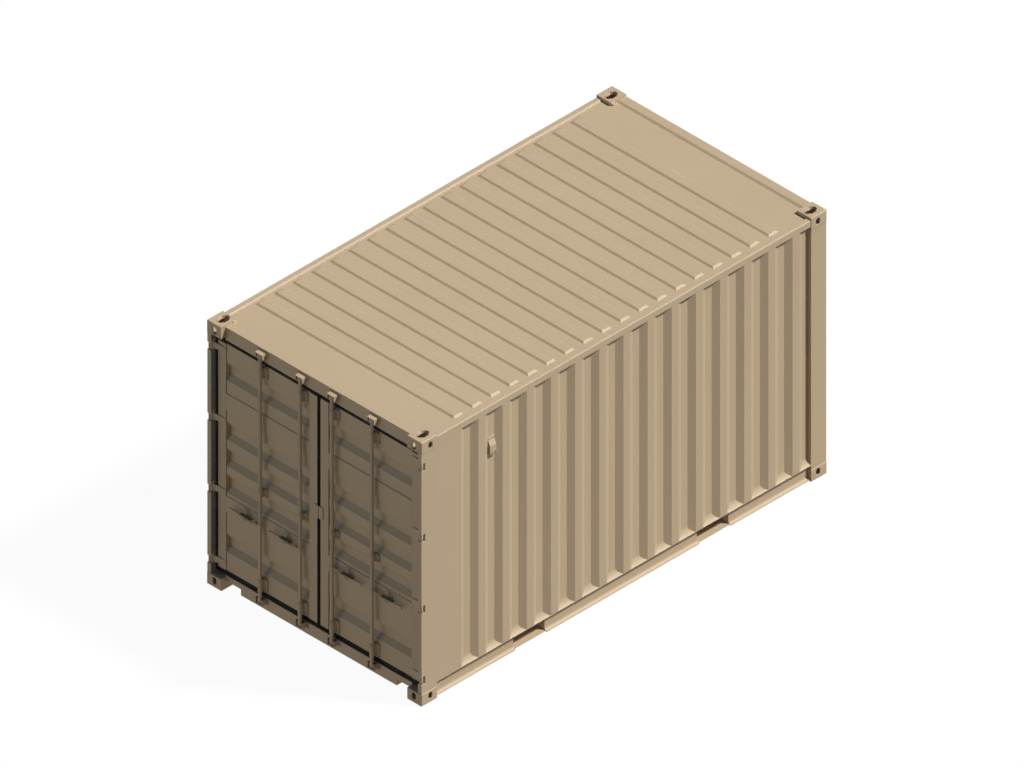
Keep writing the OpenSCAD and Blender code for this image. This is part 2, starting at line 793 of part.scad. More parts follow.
// Rubber ring around a leaf
module door_seal() {
    x0 = sill_d + 5;
    g = seal_gap;
    color(dark) difference() {
        block([x0, post_w + g, sill_top + g], [x0 + seal_t, half_w - g, header_z - g]);
        block([x0 - 1, leaf_w, leaf_z0], [x0 + seal_t + 1, leaf_in, leaf_z1]);
    }
}
module door_seal_right() { at_right() door_seal(); }
module door_seal_left() { at_left() door_seal(); }

// Four forged blades: knuckle, cranked neck and tapered strap on the stile
module hinge_blades() {
    r = knuckle / 2;
    x0 = sill_d - blade_t;
    w0 = post_w;
    w1 = panel_w0;
    color(paint)
        for (z = hinge_z) translate([0, 0, z]) difference() {
            union() {
                translate([pin_in, pin_in, -blade_h / 2]) cylinder(r = r, h = blade_h);
                translate([0, 0, -blade_h / 2]) linear_extrude(blade_h)
                    polygon([[pin_in + r * 0.9, pin_in - r * 0.4], [sill_d, w0 - 6], [sill_d, w0 + 1],
                        [x0, w0 + 1], [pin_in - r * 0.4, pin_in + r * 0.9]]);
                intersection() {
                    along_x(x0, sill_d)
                        polygon([[w0, -blade_h / 2], [w1, blade_rise - blade_tip / 2],
                            [w1, blade_rise + blade_tip / 2], [w0, blade_h / 2]]);
                    translate([0, 0, -blade_h / 2]) linear_extrude(blade_h)
                        polygon([[x0, w0], [sill_d, w0], [sill_d, w1], [sill_d - blade_end, w1]]);
                }
            }
            translate([pin_in, pin_in, -blade_h]) cylinder(d = pin_dia + 2 * run_fit, h = 2 * blade_h);
        }
}
module hinge_blades_right() { at_right() hinge_blades(); }
module hinge_blades_left() { at_left() hinge_blades(); }

// Bearing on a plate that holds a rod; h is the plate height
module guide(h) {
    r = rod_dia / 2 + 4;
    b = h / 2 - bearing_in;
    difference() {
        union() {
            block([crest - guide_t, -guide_w / 2, -h / 2], [crest, guide_w / 2, h / 2]);
            block([rod_d, -r, -b], [crest - guide_t + 1, r, b]);
            translate([rod_d, 0, -b]) cylinder(r = r, h = 2 * b);
        }
        translate([rod_d, 0, -h]) cylinder(d = rod_dia + 2 * run_fit, h = 2 * h);
    }
}
module rod_guides() {
    flat = dent_a - dent_in - 2 * dent_run;
    color(paint)
        for (w = rod_w) {
            translate([0, w, leaf_z0 + guide_low]) guide(guide_low_h);
            translate([0, w, leaf_mid - dent_a / 2]) guide(flat - 4);
            translate([0, w, leaf_z1 - guide_high]) guide(guide_high_h);
        }
}
module rod_guides_right() { at_right() rod_guides(); }
module rod_guides_left() { at_left() rod_guides(); }

// Plate with a shelf under each handle bar, a knob below it and a tongue above it
module handle_catches() {
    z = handle_z - handle_h / 2 - 2;
    a = catch_w / 2;
    b = shelf_w / 2;
    x0 = sill_d - post_t;
    color(paint)
        for (w = rod_w) translate([0, w - handle_l + catch_in, z]) {
            block([x0, -a, -catch_low], [sill_d, a, catch_high]);
            block([handle_d - 3, -b, -shelf_t], [x0, b, 0]);
            block([x0 - shelf_t, -shelf_t, 0], [x0, shelf_t, catch_high]);
            translate([x0 - shelf_t, 0, -shelf_t / 2 - catch_low / 2]) rotate([0, 90, 0])
                cylinder(d = catch_low - 2 * shelf_t, h = shelf_t);
        }
}
module handle_catches_right() { at_right() handle_catches(); }
module handle_catches_left() { at_left() handle_catches(); }

// Plate on the inner stile that covers half of the middle gap
module meeting_plate() {
    z = leaf_mid - meet_drop;
    color(paint) block([sill_d - meet_t, half_w - meet_w, z - meet_h / 2],
        [sill_d, half_w - meet_slit / 2, z + meet_h / 2]);
}
module meeting_plate_right() { at_right() meeting_plate(); }
module meeting_plate_left() { at_left() meeting_plate(); }

// Rod with a cam at each end and the hub and pivot pin of its handle
module lock_rod(w) {
    z = handle_z;
    color(paint) translate([0, w, 0]) {
        translate([rod_d, 0, rod_z0]) cylinder(d = rod_dia, h = rod_z1 - rod_z0);
        for (z0 = [rod_z0 + 2, rod_z1 - cam_h - 2])
            block([rod_d - 9, -cam_w, z0], [rod_d + 9, cam_w, z0 + cam_h]);
        translate([rod_d, 0, z - 24]) cylinder(r = hub_r, h = 48);
        block([rod_d, -pivot_w - 12, z - 13], [rod_d + 11, 0, z + 13]);
        translate([handle_d - 3, -pivot_w, z]) rotate([0, 90, 0])
            cylinder(r = pivot_r, h = rod_d + 6 - handle_d);
    }
}
module lock_rod_right_outer() { at_right() lock_rod(rod_w[0]); }
module lock_rod_right_inner() { at_right() lock_rod(rod_w[1]); }
module lock_rod_left_outer() { at_left() lock_rod(rod_w[0]); }
module lock_rod_left_inner() { at_left() lock_rod(rod_w[1]); }

// Flat bar that turns on the hub's pin
module handle(w) {
    r = handle_h / 2;
    color(paint) translate([handle_d, w, handle_z]) difference() {
        union() {
            translate([0, -pivot_w, 0]) rotate([0, 90, 0]) cylinder(r = r, h = handle_t);
            block([0, -handle_l, -r], [handle_t, -pivot_w, r]);
            translate([handle_t - 1, (hasp_in - 1) * handle_l, r - 3 - hasp_t])
                cube([hasp_w + 1, hasp_share * handle_l, hasp_t]);
        }
        translate([-1, -pivot_w, 0]) rotate([0, 90, 0]) cylinder(r = pivot_r + run_fit, h = handle_t + 2);
    }
}
module handle_right_outer() { at_right() handle(rod_w[0]); }
module handle_right_inner() { at_right() handle(rod_w[1]); }
module handle_left_outer() { at_left() handle(rod_w[0]); }
module handle_left_inner() { at_left() handle(rod_w[1]); }

bottom_fittings();
top_fittings();
rear_post_right();
rear_post_left();
front_post_right();
front_post_left();
top_rail_right();
top_rail_left();
bottom_rail_right();
bottom_rail_left();
door_header();
door_sill();
front_header();
front_sill();
side_wall_right();
side_wall_left();
front_wall();
roof_panel();
roof_gussets();
floor_boards();
cross_members();
fork_pockets();
side_vents();
hinge_pins();
cam_keepers();
door_frame_right();
door_frame_left();
door_panel_right();
door_panel_left();
door_seal_right();
door_seal_left();
hinge_blades_right();
hinge_blades_left();
rod_guides_right();
rod_guides_left();
handle_catches_right();
handle_catches_left();
meeting_plate_right();
meeting_plate_left();
lock_rod_right_outer();
lock_rod_right_inner();
lock_rod_left_outer();
lock_rod_left_inner();
handle_right_outer();
handle_right_inner();
handle_left_outer();
handle_left_inner();
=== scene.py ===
"""Looks of a steel shipping container: its paint, rubber, timber and small fittings, and a plain studio."""

import json
import math

import bpy
from bpy.props import FloatProperty, FloatVectorProperty, IntProperty, PointerProperty
from bpy.types import Operator, Panel, PropertyGroup
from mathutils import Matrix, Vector


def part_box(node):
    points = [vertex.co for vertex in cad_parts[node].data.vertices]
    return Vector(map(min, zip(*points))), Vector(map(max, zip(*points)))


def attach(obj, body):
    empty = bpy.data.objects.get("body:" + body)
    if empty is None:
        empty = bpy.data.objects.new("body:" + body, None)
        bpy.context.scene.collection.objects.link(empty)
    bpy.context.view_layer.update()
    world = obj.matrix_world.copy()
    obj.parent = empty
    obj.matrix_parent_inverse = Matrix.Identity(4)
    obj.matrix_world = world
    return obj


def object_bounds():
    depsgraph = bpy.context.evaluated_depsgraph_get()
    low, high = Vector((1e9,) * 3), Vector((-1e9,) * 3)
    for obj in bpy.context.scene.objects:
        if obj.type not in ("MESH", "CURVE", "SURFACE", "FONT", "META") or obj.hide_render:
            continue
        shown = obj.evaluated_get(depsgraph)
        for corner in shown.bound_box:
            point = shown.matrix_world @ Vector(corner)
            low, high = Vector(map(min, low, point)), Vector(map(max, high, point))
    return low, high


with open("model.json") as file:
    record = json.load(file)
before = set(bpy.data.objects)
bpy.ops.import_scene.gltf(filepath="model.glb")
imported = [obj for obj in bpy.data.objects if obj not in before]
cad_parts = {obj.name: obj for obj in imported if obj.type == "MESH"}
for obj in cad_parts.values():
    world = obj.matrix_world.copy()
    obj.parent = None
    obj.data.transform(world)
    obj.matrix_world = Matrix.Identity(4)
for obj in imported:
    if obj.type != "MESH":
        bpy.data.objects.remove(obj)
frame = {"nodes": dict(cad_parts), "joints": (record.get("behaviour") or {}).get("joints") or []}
CAD_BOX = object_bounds()
NODES = frame["nodes"]
JOINTS = {joint["name"]: joint for joint in frame["joints"]}
SIDES = ("right", "left")
HANDS = (-1, 1)  # sign of Y on each side
ROWS = ("outer", "inner")
# Sheet solids, which keep their sharp edges
THIN = ("roof_panel", "roof_gussets", "side_vents", "cross_members", "fork_pockets")
# Long solids, whose flat faces are joined before their edges are rounded
LONG = ("top_rail_right", "top_rail_left", "front_header")
MERGE = 0.00002  # corners of a solid closer than this are one
FLAT_ANGLE = math.radians(0.4)
ROUND_ANGLE = math.radians(24)

# Rod guides: plate thickness, bolts beside the rod, and for the low, middle and high guide where its centre
# is (from the leaf's low edge, middle and high edge) and how far its bolts are above and below that
GUIDE_PLATE = 0.012
GUIDE_BOLT_ASIDE = 0.037
GUIDE_LOW, GUIDE_LOW_BOLT = 0.079, 0.052
GUIDE_MIDDLE, GUIDE_MIDDLE_BOLT = 0.1295, 0.027
GUIDE_HIGH, GUIDE_HIGH_BOLT = 0.064, 0.044

# Rod collars: outer radius, rounding, half the middle guide that they sit beside, and the gap to it
COLLAR_RADIUS = 0.0185
COLLAR_EDGE = 0.0022
COLLAR_SEAT = 0.034
COLLAR_GAP = 0.001

# Vent mouths: rim as a share of the height, sunk part and seat as shares of the depth
VENT_RIM, VENT_SUNK, VENT_SEAT = 0.14, 0.4, 0.3

# Handle plates: room left to the front of the CAD box; rim, sunk part and seat as shares of the thickness
BOX_GAP = 0.0005
PLATE_RIM, PLATE_SUNK, PLATE_SEAT = 0.6, 0.3, 0.4

# Seals: how much smaller than the seal a lip is, its rounding as a share of its height, the setback of the
# post strips, their crown as a share of their thickness, and the number of hinges on a post
LIP_SMALLER = 0.004
LIP_ROUND = 0.45
STRIP_BACK = 0.004
STRIP_CROWN = 0.2
HINGES = 4

# Floor screws: height, drive recess, lift above the boards, rims as shares of the head, and the rows over the
# cross members
SCREW_HEIGHT = 0.002
SCREW_DRIVE = 0.0012
SCREW_LIFT = 0.0002
SCREW_RIM, SCREW_SLOPE = 0.18, 0.12
SCREW_ROWS = (-2.06, -1.78, -1.50, -0.80, -0.45, -0.02, 0.02, 0.45, 0.80, 1.50, 1.78, 2.06)

# Studio: floor, lights by the side they come from, and the camera of the photo
FLOOR_SIZE = 120
FLOOR_DROP = 0.0005
KEY_FROM = Vector((0.37, -0.495, 0.785))
KEY_COLOUR = (1.0, 0.995, 0.94)
FILL_FROM = Vector((-0.8, 0.57, 0.04))
FILL_COLOUR = (1.0, 0.78, 0.40)
FILL_ANGLE = math.radians(20)
WHITE = (1.0, 1.0, 1.0)
PHOTO_WIDTH = 1024
PIXELS_PER_METRE = 124.68
CAMERA_ASIDE, CAMERA_UP, CAMERA_BACK = -0.0386, 1.157, 20
CAMERA_REACH = 200

bl_info = {
    "name": "Shipping container",
    "version": (1, 0, 0),
    "blender": (4, 5, 0),
    "location": "View3D > Sidebar > Container",
    "description": "Paints a steel container and adds its fasteners, seals and studio",
    "category": "Object",
}


# Sizes and colours


class PaintSettings(PropertyGroup):
    """Paint of all the steel."""

    colour: FloatVectorProperty(
        name="Paint", description="Colour of the paint", subtype="COLOR", default=(0.545, 0.405, 0.262)
    )
    grime: FloatVectorProperty(
        name="Grime", description="Dirt in the streaks", subtype="COLOR", default=(0.30, 0.235, 0.16)
    )
    primer: FloatVectorProperty(
        name="Primer", description="Colour under the worn edges", subtype="COLOR", default=(0.36, 0.29, 0.21)
    )
    inside: FloatVectorProperty(
        name="Inside", description="Primer in the fork pockets", subtype="COLOR", default=(0.62, 0.62, 0.58)
    )
    strap: FloatProperty(name="Strap", description="Top of a pocket's strap", default=0.030, unit="LENGTH")
    roughness: FloatProperty(
        name="Roughness", description="Roughness of clean paint", default=0.50, min=0, max=1
    )
    edge: FloatProperty(
        name="Edge", description="Rounding of the steel edges", default=0.0025, unit="LENGTH", min=0.0005
    )


class SealSettings(PropertyGroup):
    """Rubber of the door seals, and the grey strips in the door posts that are painted shade on the posts'
    inner faces.
    """

    colour: FloatVectorProperty(
        name="Rubber", description="Colour of the rubber", subtype="COLOR", default=(0.018, 0.0170, 0.0145)
    )
    lip: FloatProperty(name="Lip", description="Width of a seal lip", default=0.011, unit="LENGTH")
    rise: FloatProperty(name="Rise", description="Height of a seal lip", default=0.004, unit="LENGTH")
    # Tone of the post strips, which sets the painted shade on the posts' inner faces
    grey: FloatProperty(name="Grey", description="Tone of the strips in the posts", default=14.0, min=1)
    strip: FloatProperty(name="Strip", description="Width of a post strip", default=0.046, unit="LENGTH")
    nose: FloatProperty(name="Nose", description="Width of a post's front edge", default=0.042, unit="LENGTH")
    pin: FloatProperty(name="Pin", description="Length of a hinge pin", default=0.096, unit="LENGTH")
    above: FloatProperty(name="Above", description="Hinge to the strip above", default=0.075, unit="LENGTH")
    below: FloatProperty(name="Below", description="Hinge to the strip below", default=0.040, unit="LENGTH")


class TimberSettings(PropertyGroup):
    """Boards of the floor and their screws."""

    colour: FloatVectorProperty(
        name="Timber", description="Colour of the boards", subtype="COLOR", default=(0.34, 0.20, 0.095)
    )
    dark: FloatVectorProperty(
        name="Dark", description="Late grain of the boards", subtype="COLOR", default=(0.19, 0.10, 0.045)
    )
    screw: FloatProperty(name="Screw", description="Diameter of a screw head", default=0.015, unit="LENGTH")
    rows: IntProperty(name="Screws", description="Screws across the floor", default=10, min=2)


class FastenerSettings(PropertyGroup):
    """Bolts, collars and handle plates of the door gear."""

    bolt: FloatProperty(name="Bolt", description="Width of a bolt head's flats", default=0.017, unit="LENGTH")
    head: FloatProperty(name="Head", description="Height of a bolt head", default=0.007, unit="LENGTH")
    washer: FloatProperty(name="Washer", description="Diameter of a washer", default=0.024, unit="LENGTH")
    collar: FloatProperty(name="Collar", description="Height of a rod collar", default=0.014, unit="LENGTH")
    plate: FloatProperty(name="Plate", description="Length of a handle plate", default=0.130, unit="LENGTH")
    sheet: FloatProperty(name="Sheet", description="Its thickness", default=0.004, unit="LENGTH")
    inward: FloatProperty(name="Inward", description="Handle end to its catch", default=0.175, unit="LENGTH")
    aside: FloatProperty(name="Aside", description="Catch to the plate", default=0.015, unit="LENGTH")


class VentSettings(PropertyGroup):
    """Mouth of the vent hoods, a black insert that is painted shade for the inside of the opening."""

    width: FloatProperty(name="Width", description="Width of the mouth", default=0.058, unit="LENGTH")
    height: FloatProperty(name="Height", description="Height of the mouth", default=0.020, unit="LENGTH")
    depth: FloatProperty(name="Depth", description="Depth of its rim", default=0.004, unit="LENGTH")
    margin: FloatProperty(name="Margin", description="Hood below the mouth", default=0.002, unit="LENGTH")


class StageSettings(PropertyGroup):
    """Camera, lights and floor."""

    key: FloatProperty(name="Key", description="Strength of the key light", default=3.84, min=0)
    soft: FloatProperty(
        name="Softness", description="Width of the key light", subtype="ANGLE", default=math.radians(6)
    )
    fill: FloatProperty(name="Fill", description="Strength of the light on the door end", default=0.37, min=0)
    zenith: FloatVectorProperty(
        name="Zenith", description="Light from above", subtype="COLOR", default=(0.07, 0.06, 0.08)
    )
    horizon: FloatVectorProperty(
        name="Horizon", description="Light from the sides", subtype="COLOR", default=(0.06, 0.29, 0.50)
    )
    bounce: FloatVectorProperty(
        name="Bounce", description="Light from the floor", subtype="COLOR", default=(0.23, 0.14, 0.045)
    )


# Materials


class Value:
    """A number or a socket in a node tree that takes part in sums."""

    def __init__(self, finish, socket):
        self.finish = finish
        self.socket = socket

    def math(self, operation, first, second):
        return self.finish.node("ShaderNodeMath", {"operation": operation}, {0: first, 1: second})

    def __add__(self, other):
        return self.math("ADD", self, other)

    __radd__ = __add__

    def __sub__(self, other):
        return self.math("SUBTRACT", self, other)

    def __rsub__(self, other):
        return self.math("SUBTRACT", other, self)

    def __mul__(self, other):
        return self.math("MULTIPLY", self, other)


class Finish:
    """A material, or the world, under construction."""

    def __init__(self, owner):
        owner.use_nodes = True
        self.tree = owner.node_tree
        self.tree.nodes.clear()

    def node(self, kind, settings=None, inputs=None, output=0):
        """Adds a node, sets it, feeds its sockets and returns one of its outputs."""
        made = self.tree.nodes.new(kind)
        for name, value in (settings or {}).items():
            setattr(made, name, value)
        for name, value in (inputs or {}).items():
            self.feed(made.inputs[name], value)
        return Value(self, made.outputs[output])

    def feed(self, socket, value):
        """Links a value to a socket, or sets it there."""
        if isinstance(value, Value):
            self.tree.links.new(value.socket, socket)
        elif socket.type == "RGBA" and len(value) == 3:
            socket.default_value = (*value, 1)
        else:
            socket.default_value = value

    def mix(self, factor, first, second):
        """Mixes two colours."""
        settings = {"data_type": "RGBA", "blend_type": "MIX", "clamp_factor": True}
        return self.node("ShaderNodeMix", settings, {0: factor, 6: first, 7: second}, output=2)

    def smooth(self, value, low, high):
        """0 below low, 1 above high, and a soft step between."""
        settings = {"interpolation_type": "SMOOTHSTEP", "clamp": True}
        inputs = {"Value": value, "From Min": low, "From Max": high}
        return self.node("ShaderNodeMapRange", settings, inputs)

    def noise(self, place, scale, detail=3.0, stretch=None):
        """Cloudy noise on the object's own coordinates."""
        if stretch:
            place = self.node("ShaderNodeMapping", {}, {"Vector": place, "Scale": stretch})
        return self.node("ShaderNodeTexNoise", {}, {"Vector": place, "Scale": scale, "Detail": detail})

    def place(self):
        """The object's own coordinates."""
        return self.node("ShaderNodeTexCoord", output="Object")

    def bump(self, height, distance):
        """Small relief of the surface."""
        return self.node("ShaderNodeBump", {}, {"Height": height, "Distance": distance, "Strength": 1.0})

    def surface(self, **inputs):
        """Closes the tree with a shader; its sockets are named with _ for spaces."""
        shader = self.node("ShaderNodeBsdfPrincipled")
        sockets = shader.socket.node.inputs
        for name, value in inputs.items():
            self.feed(sockets[name.replace("_", " ")], value)
        self.close(shader)

    def close(self, shader, kind="ShaderNodeOutputMaterial"):
        """Feeds a shader to the tree's output."""
        made = self.tree.nodes.new(kind)
        self.feed(made.inputs["Surface"], shader)


def material(name):
    """A new material and the tree that it is built in."""
    made = bpy.data.materials.new(name)
    return made, Finish(made)


def paint_finish(settings):
    """Satin paint with soft tone changes, rain streaks, specks and worn edges."""
    made, finish = material("Container paint")
    place = finish.place()
    clouds = finish.noise(place, 1.1, 4.0)
    streaks = finish.noise(place, 9.0, 4.0, stretch=(1.0, 1.0, 0.07))
    specks = finish.noise(place, 55.0, 5.0)
    normal = finish.node("ShaderNodeNewGeometry", output="Normal")
    bevel = finish.node("ShaderNodeBevel", {"samples": 4}, {"Radius": settings.edge * 2.5})
    product = {"operation": "DOT_PRODUCT"}
    turned = finish.node("ShaderNodeVectorMath", product, {0: normal, 1: bevel}, output="Value")
    worn = finish.smooth(1 - turned, 0.02, 0.12) * finish.smooth(specks, 0.46, 0.60)
    light = [c * 1.012 for c in settings.colour]
    shade = [c * 0.988 for c in settings.colour]
    colour = finish.mix(finish.smooth(clouds, 0.3, 0.7), shade, light)
    colour = finish.mix(finish.smooth(streaks, 0.52, 0.75) * 0.06, colour, settings.grime)
    colour = finish.mix(finish.smooth(specks, 0.60, 0.72) * 0.08, colour, settings.grime)
    colour = finish.mix(worn * 0.45, colour, settings.primer)
    roughness = settings.roughness + (clouds - 0.5) * 0.05 + worn * 0.15
    peel = finish.noise(place, 260.0, 2.0)
    sheet = finish.noise(place, 4.0, 1.0)
    bump = finish.bump(peel + sheet * 2.0, 0.00022)
    finish.surface(Base_Color=colour, Roughness=roughness, Normal=bump, Specular_IOR_Level=0.5)
    return made


def primer_finish(settings):
    """Grey primer inside the fork pockets, with painted floor straps."""
    made, finish = material("Pocket primer")
    place = finish.place()
    height = finish.node("ShaderNodeSeparateXYZ", {}, {0: place}, output="Z")
    clouds = finish.noise(place, 6.0, 4.0)
    shade = [c * 0.94 for c in settings.inside]
    grey = finish.mix(finish.smooth(clouds, 0.3, 0.7), settings.inside, shade)
    above = finish.smooth(height, settings.strap, settings.strap + 0.004)
    colour = finish.mix(above, settings.colour, grey)
    grain = finish.noise(place, 260.0, 2.0)
    finish.surface(Base_Color=colour, Roughness=0.55 + clouds * 0.1, Normal=finish.bump(grain, 0.0002))
    return made


def rubber_finish(settings, name="Seal rubber", tone=1.0):
    """Rubber, a little dusty; a tone above 1 turns the black one grey."""
    made, finish = material(name)
    place = finish.place()
    dust = finish.noise(place, 14.0, 5.0)
    clean = [c * tone for c in settings.colour]
    dusty = [c * (1.0 + 1.6 / tone) + 0.004 for c in clean]
    colour = finish.mix(finish.smooth(dust, 0.45, 0.7), clean, dusty)
    bump = finish.bump(finish.noise(place, 400.0, 2.0), 0.0003)
    finish.surface(Base_Color=colour, Roughness=0.58 + dust * 0.2, Normal=bump, Specular_IOR_Level=0.08)
    return made


def timber_finish(settings):
    """Hardwood board with its grain along the container."""
    made, finish = material("Floor timber")
    place = finish.place()
    grain = finish.noise(place, 22.0, 6.0, stretch=(0.05, 1.0, 1.0))
    fine = finish.noise(place, 160.0, 3.0, stretch=(0.03, 1.0, 1.0))
    boards = finish.noise(place, 1.3, 1.0, stretch=(0.3, 3.0, 1.0))
    colour = finish.mix(finish.smooth(grain, 0.38, 0.66), settings.colour, settings.dark)
    colour = finish.mix(finish.smooth(fine, 0.5, 0.75) * 0.5, colour, settings.dark)
    pale = [c * 1.5 for c in settings.colour]
    colour = finish.mix(finish.smooth(boards, 0.3, 0.7) * 0.3, colour, pale)
    finish.surface(Base_Color=colour, Roughness=0.62 + fine * 0.2, Normal=finish.bump(grain + fine, 0.0008))
    return made


def zinc_finish():
    """Zinc-plated steel of the screws."""
    made, finish = material("Zinc plate")
    place = finish.place()
    spangle = finish.noise(place, 120.0, 3.0)
    colour = finish.mix(finish.smooth(spangle, 0.35, 0.7), (0.30, 0.29, 0.27), (0.44, 0.43, 0.41))
    bump = finish.bump(spangle, 0.0002)
    finish.surface(Base_Color=colour, Metallic=1.0, Roughness=0.36 + spangle * 0.2, Normal=bump)
    return made


def plate_shade_finish():
    """Steel of the handle plates, painted dark greenish grey as painted shade on their tops."""
    made, finish = material("Plate painted shade")
    place = finish.place()
    stains = finish.noise(place, 30.0, 4.0)
    # The two dark greenish greys are painted shade; the noise between them is random tone
    colour = finish.mix(finish.smooth(stains, 0.35, 0.7), (0.150, 0.172, 0.138), (0.205, 0.228, 0.185))
    finish.surface(Base_Color=colour, Roughness=0.62 + stains * 0.1, Normal=finish.bump(stains, 0.0002))
    return made


def wear(piece, made):
    """Gives a piece its one material."""
    piece.data.materials.clear()
    piece.data.materials.append(made)


def finish_named(name, maker, *values):
    """The material of that name, made when it is first asked for."""
    return bpy.data.materials.get(name) or maker(*values)


# Modelling


def clear_selection():
    """Back to object mode with nothing selected."""
    if bpy.context.object and bpy.context.object.mode != "OBJECT":
        bpy.ops.object.mode_set(mode="OBJECT")
    bpy.ops.object.select_all(action="DESELECT")


def pick_faces(piece, test):
    """Selects, in edit mode, the faces whose centre and normal pass a test."""
    bpy.ops.object.mode_set(mode="EDIT")
    bpy.ops.mesh.select_mode(type="FACE")
    bpy.ops.mesh.select_all(action="DESELECT")
    bpy.ops.object.mode_set(mode="OBJECT")
    for face in piece.data.polygons:
        face.select = test(face.center, face.normal)
    bpy.ops.object.mode_set(mode="EDIT")


def spread(master, places, name, body):
    """Copies a modelled piece to each place, joins the copies and lets them ride on a body."""
    copies = []
    for place in places:
        copy = master.copy()
        copy.data = master.data.copy()
        copy.location = place
        bpy.context.scene.collection.objects.link(copy)
        copies.append(copy)
    clear_selection()
    for copy in copies:
        copy.select_set(True)
    bpy.context.view_layer.objects.active = copies[0]
    if len(copies) > 1:
        bpy.ops.object.join()
    bpy.ops.object.transform_apply(location=True, rotation=True, scale=True)
    piece = bpy.context.object
    piece.name = name
    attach(piece, body)
    return piece


def put_away(master):
    """Removes a modelled piece once its copies are made."""
    mesh = master.data
    bpy.data.objects.remove(master)
    bpy.data.meshes.remove(mesh)


def bolt_head(settings):
    """A hexagon head on a washer, its axis along -X and its seat at the origin."""
    clear_selection()
    thin = settings.head * 0.3
    turn = (0, math.pi / 2, 0)
    bpy.ops.mesh.primitive_cylinder_add(
        vertices=20, radius=settings.washer / 2, depth=thin, location=(-thin / 2, 0, 0), rotation=turn
    )
    bpy.ops.object.transform_apply(location=True, rotation=True, scale=True)
    piece = bpy.context.object
    pick_faces(piece, lambda centre, normal: normal.x < -0.9)
    bpy.ops.mesh.bevel(offset=thin * 0.3, segments=1, affect="EDGES")
    bpy.ops.mesh.select_all(action="DESELECT")
    reach = settings.head
    seat = (-thin - reach / 2, 0, 0)
    bpy.ops.mesh.primitive_cylinder_add(
        vertices=6, radius=settings.bolt / math.sqrt(3), depth=reach, location=seat, rotation=turn
    )
    pick_faces(piece, lambda centre, normal: normal.x < -0.9 and centre.x < -reach)
    bpy.ops.mesh.bevel(offset=reach * 0.16, segments=2, affect="EDGES")
    bpy.ops.object.mode_set(mode="OBJECT")
    return piece


def rod_at(side, row):
    """Axis of a lock rod in plan."""
    return Vector(JOINTS[f"rod_{side}_{row}_turn"]["pos_m"])


class CONTAINER_OT_paint(Operator):
    """Rounds the steel edges and gives every solid its finish"""

    bl_idname = "container.paint"
    bl_label = "Paint and finish"
    bl_options = {"REGISTER", "UNDO"}

    def execute(self, context):
        scene = context.scene
        paint = finish_named("Container paint", paint_finish, scene.container_paint)
        rubber = finish_named("Seal rubber", rubber_finish, scene.container_seal)
        timber = finish_named("Floor timber", timber_finish, scene.container_timber)
        primer = finish_named("Pocket primer", primer_finish, scene.container_paint)
        for name, node in NODES.items():
            if name.startswith("door_seal"):
                wear(node, rubber)
            elif name == "floor_boards":
                wear(node, timber)
            elif name == "fork_pockets":
                wear(node, primer)
            else:
                wear(node, paint)
            weld = node.modifiers.new("Joined edges", "WELD")
            weld.merge_threshold = MERGE
            if name in THIN:
                continue
            if name in LONG:
                flat = node.modifiers.new("Flat faces", "DECIMATE")
                flat.decimate_type = "DISSOLVE"
                flat.angle_limit = FLAT_ANGLE
            soft = node.modifiers.new("Rounded edges", "BEVEL")
            soft.width = scene.container_paint.edge
            soft.segments = 2
            soft.limit_method = "ANGLE"
            soft.angle_limit = ROUND_ANGLE
            soft.use_clamp_overlap = True
            soft.harden_normals = True
        return {"FINISHED"}


class CONTAINER_OT_guide_bolts(Operator):
    """Adds the bolts that hold the rod guides"""

    bl_idname = "container.guide_bolts"
    bl_label = "Guide bolts"
    bl_options = {"REGISTER", "UNDO"}

    def execute(self, context):
        settings = context.scene.container_fasteners
        paint = finish_named("Container paint", paint_finish, context.scene.container_paint)
        master = bolt_head(settings)
        wear(master, paint)
        for side in SIDES:
            _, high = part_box(f"rod_guides_{side}")
            plate = high.x - GUIDE_PLATE
            leaf_low, leaf_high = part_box(f"door_frame_{side}")
            middle = (leaf_low.z + leaf_high.z) / 2 - GUIDE_MIDDLE
            heights = (
                (leaf_low.z + GUIDE_LOW, GUIDE_LOW_BOLT),
                (middle, GUIDE_MIDDLE_BOLT),
                (leaf_high.z - GUIDE_HIGH, GUIDE_HIGH_BOLT),
            )
            places = [
                (plate, rod_at(side, row).y + across, height + up)
                for row in ROWS
                for height, reach in heights
                for across in (-GUIDE_BOLT_ASIDE, GUIDE_BOLT_ASIDE)
                for up in (-reach, reach)
            ]
            spread(master, places, f"guide_bolts_{side}", f"door_{side}")
        put_away(master)
        return {"FINISHED"}


class CONTAINER_OT_vent_mouths(Operator):
    """Adds the mouth low on each vent hood, a black rubber insert that is painted shade for the dark inside
    of the opening
    """

    bl_idname = "container.vent_mouths"
    bl_label = "Vent mouths"
    bl_options = {"REGISTER", "UNDO"}

    def execute(self, context):
        settings = context.scene.container_vent
        rubber = finish_named("Seal rubber", rubber_finish, context.scene.container_seal)
        low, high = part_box("side_vents")
        clear_selection()
        bpy.ops.mesh.primitive_cube_add(size=1)
        master = bpy.context.object
        master.scale = (settings.width, settings.depth, settings.height)
        bpy.ops.object.transform_apply(location=True, rotation=True, scale=True)
        pick_faces(master, lambda centre, normal: normal.y < -0.9)
        bpy.ops.mesh.inset(thickness=settings.height * VENT_RIM)
        bpy.ops.mesh.extrude_region_move(TRANSFORM_OT_translate={"value": (0, settings.depth * VENT_SUNK, 0)})
        bpy.ops.object.mode_set(mode="OBJECT")
        # Black seal rubber here is painted shade: it stands in for the dark inside of the vent opening
        wear(master, rubber)
        x = (low.x + high.x) / 2
        z = low.z + settings.height / 2 + settings.margin
        seat = settings.depth * VENT_SEAT
        spread(master, [(x, low.y + seat, z)], "vent_mouth_right", "container")
        master.rotation_euler = (0, 0, math.pi)
        spread(master, [(x, high.y - seat, z)], "vent_mouth_left", "container")
        put_away(master)
        return {"FINISHED"}


